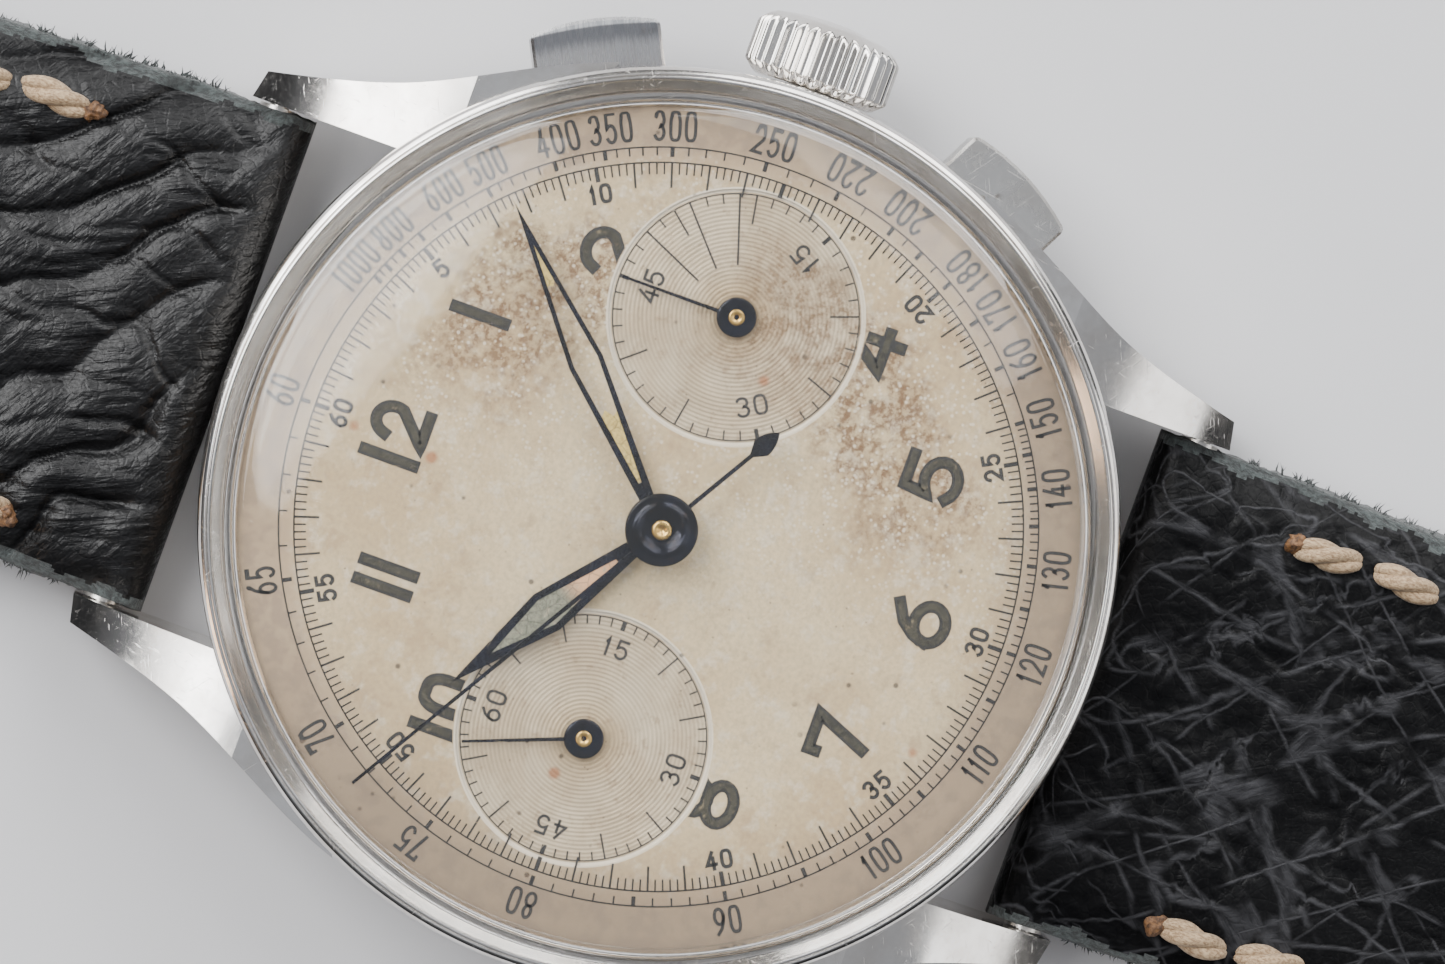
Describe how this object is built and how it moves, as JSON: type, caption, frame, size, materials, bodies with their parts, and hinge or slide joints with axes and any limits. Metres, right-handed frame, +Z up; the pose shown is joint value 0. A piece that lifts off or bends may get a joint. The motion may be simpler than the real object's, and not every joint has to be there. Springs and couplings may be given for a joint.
{
  "type": "chronograph wristwatch",
  "caption": "Hand-wound round chronograph wristwatch with sunk registers, domed crystal, rectangular pushers and a black leather strap, laid open on its back.",
  "frame": {"origin": "centre of the case back's flat outer face, on the surface the watch lies on", "axes": "+Z up through the dial, +Y towards 12 o'clock along the strap, +X towards the crown at 3 o'clock"},
  "size_m": [0.0379, 0.2391, 0.0128],
  "materials": {
    "case_steel": "polished steel, fine scratches",
    "satin_steel": "satin",
    "crystal": "clear domed acrylic",
    "dial": "aged matt lacquer",
    "blued_steel": "blued steel",
    "gilt": "gilt, frosted",
    "nickel": "fine grained nickel",
    "brass": "polished",
    "movement_steel": "polished steel",
    "jewel": "synthetic ruby",
    "strap_leather": "black grained leather",
    "lining_leather": "smooth brown lining"
  },
  "bodies": {
    "case": {"case_middle": "case_steel", "case_back": "case_steel", "bezel": "case_steel", "crystal": "crystal", "crown_tube": "satin_steel", "pusher_tubes": "satin_steel", "dial": "dial", "dial_screws": "movement_steel", "mainplate": "nickel", "barrel_bridge": "nickel", "train_bridge": "nickel", "balance_cock": "nickel", "bridge_screws": "movement_steel", "jewels": "jewel", "spring_bars": "satin_steel"},
    "stem_slide": {"setting_lever": "movement_steel"},
    "crown": {"crown": "case_steel", "winding_stem": "movement_steel"},
    "yoke": {"yoke": "movement_steel"},
    "clutch": {"clutch": "movement_steel"},
    "winding_pinion": {"winding_pinion": "movement_steel"},
    "start_pusher": {"start_pusher": "satin_steel"},
    "reset_pusher": {"reset_pusher": "satin_steel"},
    "operating_lever": {"operating_lever": "movement_steel"},
    "reset_hammer": {"reset_hammer": "movement_steel"},
    "column_wheel": {"column_wheel": "movement_steel"},
    "crown_wheel": {"crown_wheel": "movement_steel"},
    "intermediate_winding_wheel": {"intermediate_winding_wheel": "movement_steel"},
    "barrel_arbor": {"barrel_arbor": "movement_steel", "ratchet_wheel": "movement_steel"},
    "click": {"click": "movement_steel"},
    "barrel": {"barrel": "brass", "barrel_lid": "brass", "mainspring": "movement_steel"},
    "minute": {"centre_wheel": "gilt", "cannon_pinion": "movement_steel", "minute_hand": "blued_steel"},
    "minute_wheel": {"minute_wheel": "brass"},
    "hour": {"hour_wheel": "brass", "hour_hand": "blued_steel"},
    "third": {"third_wheel": "gilt"},
    "running_seconds": {"fourth_wheel": "gilt", "running_seconds_hand": "blued_steel"},
    "coupling_wheel": {"coupling_wheel": "gilt"},
    "escape": {"escape_wheel": "movement_steel"},
    "pallet_fork": {"pallet_fork": "movement_steel"},
    "balance": {"balance_wheel": "gilt", "hairspring": "movement_steel"},
    "chronograph": {"chronograph_runner": "gilt", "chronograph_seconds_hand": "blued_steel"},
    "minute_counter": {"minute_counting_wheel": "gilt", "minute_counter_hand": "blued_steel"},
    "strap_buckle_side": {"strap_buckle_half": "strap_leather", "strap_buckle_lining": "lining_leather", "fixed_keeper": "strap_leather"},
    "strap_hole_side": {"strap_hole_half": "strap_leather", "strap_hole_lining": "lining_leather"},
    "sliding_keeper": {"sliding_keeper": "strap_leather"},
    "buckle": {"buckle_frame": "case_steel"},
    "buckle_tongue": {"buckle_tongue": "case_steel"}
  },
  "joints": [
    {"name": "crown_pull", "type": "slide", "parent": "case", "child": "stem_slide", "axis": [1, 0, 0], "range_m": [0, 0.0006]},
    {"name": "crown_turn", "type": "hinge", "parent": "stem_slide", "child": "crown", "pos_m": [0.015, 0, 0.0042], "axis": [1, 0, 0], "continuous": true},
    {"name": "yoke_slide", "type": "slide", "parent": "case", "child": "yoke", "axis": [1, 0, 0], "range_m": [-0.00036, 0]},
    {"name": "clutch_turn", "type": "hinge", "parent": "yoke", "child": "clutch", "pos_m": [0.011, 0, 0.0042], "axis": [1, 0, 0], "continuous": true},
    {"name": "winding_pinion_turn", "type": "hinge", "parent": "case", "child": "winding_pinion", "pos_m": [0.0125, 0, 0.0042], "axis": [1, 0, 0], "continuous": true},
    {"name": "crown_wheel_turn", "type": "hinge", "parent": "case", "child": "crown_wheel", "pos_m": [0.0109, 0, 0.0025], "axis": [0, 0, 1], "continuous": true},
    {"name": "intermediate_wheel_turn", "type": "hinge", "parent": "case", "child": "intermediate_winding_wheel", "pos_m": [0.00925, 0.00303, 0.0025], "axis": [0, 0, 1], "continuous": true},
    {"name": "ratchet_turn", "type": "hinge", "parent": "case", "child": "barrel_arbor", "pos_m": [0.00317, 0.00596, 0.004], "axis": [0, 0, 1], "continuous": true},
    {"name": "click_rock", "type": "hinge", "parent": "case", "child": "click", "pos_m": [-0.00255, 0.00926, 0.0025], "axis": [0, 0, 1], "range_deg": [0, 10]},
    {"name": "minute_turn", "type": "hinge", "parent": "case", "child": "minute", "pos_m": [0, 0, 0.0083], "axis": [0, 0, -1], "continuous": true},
    {"name": "minute_wheel_turn", "type": "hinge", "parent": "case", "child": "minute_wheel", "pos_m": [0, -0.0025, 0.0066], "axis": [0, 0, -1], "continuous": true},
    {"name": "hour_turn", "type": "hinge", "parent": "case", "child": "hour", "pos_m": [0, 0, 0.008], "axis": [0, 0, -1], "continuous": true},
    {"name": "barrel_turn", "type": "hinge", "parent": "case", "child": "barrel", "pos_m": [0.00317, 0.00596, 0.004], "axis": [0, 0, -1], "continuous": true},
    {"name": "third_turn", "type": "hinge", "parent": "case", "child": "third", "pos_m": [-0.00435, -0.00114, 0.004], "axis": [0, 0, -1], "continuous": true},
    {"name": "seconds_turn", "type": "hinge", "parent": "case", "child": "running_seconds", "pos_m": [-0.00845, 0, 0.0077], "axis": [0, 0, -1], "continuous": true},
    {"name": "coupling_turn", "type": "hinge", "parent": "case", "child": "coupling_wheel", "pos_m": [-0.00425, 0, 0.0017], "axis": [0, 0, -1], "continuous": true},
    {"name": "escape_turn", "type": "hinge", "parent": "case", "child": "escape", "pos_m": [-0.00906, -0.00347, 0.004], "axis": [0, 0, -1], "continuous": true},
    {"name": "pallet_rock", "type": "hinge", "parent": "case", "child": "pallet_fork", "pos_m": [-0.00715, -0.00507, 0.005], "axis": [0, 0, 1], "range_deg": [-5, 5]},
    {"name": "balance_swing", "type": "hinge", "parent": "case", "child": "balance", "pos_m": [-0.00408, -0.00764, 0.0042], "axis": [0, 0, 1], "range_deg": [-270, 270]},
    {"name": "chronograph_turn", "type": "hinge", "parent": "case", "child": "chronograph", "pos_m": [0, 0, 0.0088], "axis": [0, 0, -1], "continuous": true},
    {"name": "minute_counter_turn", "type": "hinge", "parent": "case", "child": "minute_counter", "pos_m": [0.00845, 0, 0.0077], "axis": [0, 0, -1], "continuous": true},
    {"name": "column_wheel_turn", "type": "hinge", "parent": "case", "child": "column_wheel", "pos_m": [0.0096, 0.0072, 0.002], "axis": [0, 0, 1], "continuous": true},
    {"name": "start_push", "type": "slide", "parent": "case", "child": "start_pusher", "axis": [-0.891, -0.454, 0], "range_m": [0, 0.0007], "stiffness_N_per_m": 2000},
    {"name": "reset_push", "type": "slide", "parent": "case", "child": "reset_pusher", "axis": [-0.891, 0.454, 0], "range_m": [0, 0.0007], "stiffness_N_per_m": 2000},
    {"name": "operating_lever_rock", "type": "hinge", "parent": "case", "child": "operating_lever", "pos_m": [0.0123, 0.0033, 0.0018], "axis": [0, 0, 1], "range_deg": [0, 20]},
    {"name": "reset_hammer_rock", "type": "hinge", "parent": "case", "child": "reset_hammer", "pos_m": [0.009, -0.0086, 0.0018], "axis": [0, 0, 1], "range_deg": [0, 20]},
    {"name": "strap_buckle_side_hinge", "type": "hinge", "parent": "case", "child": "strap_buckle_side", "pos_m": [0, 0.019, 0.0026], "axis": [1, 0, 0], "range_deg": [-95, 70]},
    {"name": "strap_hole_side_hinge", "type": "hinge", "parent": "case", "child": "strap_hole_side", "pos_m": [0, -0.019, 0.0026], "axis": [-1, 0, 0], "range_deg": [-95, 70]},
    {"name": "keeper_slide", "type": "slide", "parent": "strap_buckle_side", "child": "sliding_keeper", "axis": [0, 1, 0], "range_m": [-0.001, 0.001]},
    {"name": "buckle_hinge", "type": "hinge", "parent": "strap_buckle_side", "child": "buckle", "pos_m": [0, 0.094, 0.0023], "axis": [1, 0, 0], "range_deg": [-30, 45]},
    {"name": "tongue_hinge", "type": "hinge", "parent": "buckle", "child": "buckle_tongue", "pos_m": [0, 0.094, 0.0023], "axis": [1, 0, 0], "range_deg": [0, 75]}
  ],
  "couplings": [
    {"joint": "yoke_slide", "follows": "crown_pull", "ratio": -0.6},
    {"joint": "clutch_turn", "follows": "crown_turn", "ratio": 1},
    {"joint": "winding_pinion_turn", "follows": "crown_turn", "ratio": 1},
    {"joint": "crown_wheel_turn", "follows": "crown_turn", "ratio": 0.90909},
    {"joint": "intermediate_wheel_turn", "follows": "crown_turn", "ratio": -0.83333},
    {"joint": "ratchet_turn", "follows": "crown_turn", "ratio": 0.30303},
    {"joint": "minute_turn", "follows": "seconds_turn", "ratio": 0.016667},
    {"joint": "minute_wheel_turn", "follows": "seconds_turn", "ratio": -0.0055556},
    {"joint": "hour_turn", "follows": "seconds_turn", "ratio": 0.0013889},
    {"joint": "barrel_turn", "follows": "seconds_turn", "ratio": -0.0025641},
    {"joint": "third_turn", "follows": "seconds_turn", "ratio": -0.13333},
    {"joint": "coupling_turn", "follows": "seconds_turn", "ratio": -2.5},
    {"joint": "escape_turn", "follows": "seconds_turn", "ratio": -10},
    {"joint": "minute_counter_turn", "follows": "chronograph_turn", "ratio": 0.022222},
    {"joint": "operating_lever_rock", "follows": "start_push", "rad_per_m": 378.25},
    {"joint": "reset_hammer_rock", "follows": "reset_push", "rad_per_m": 279.58}
  ]
}
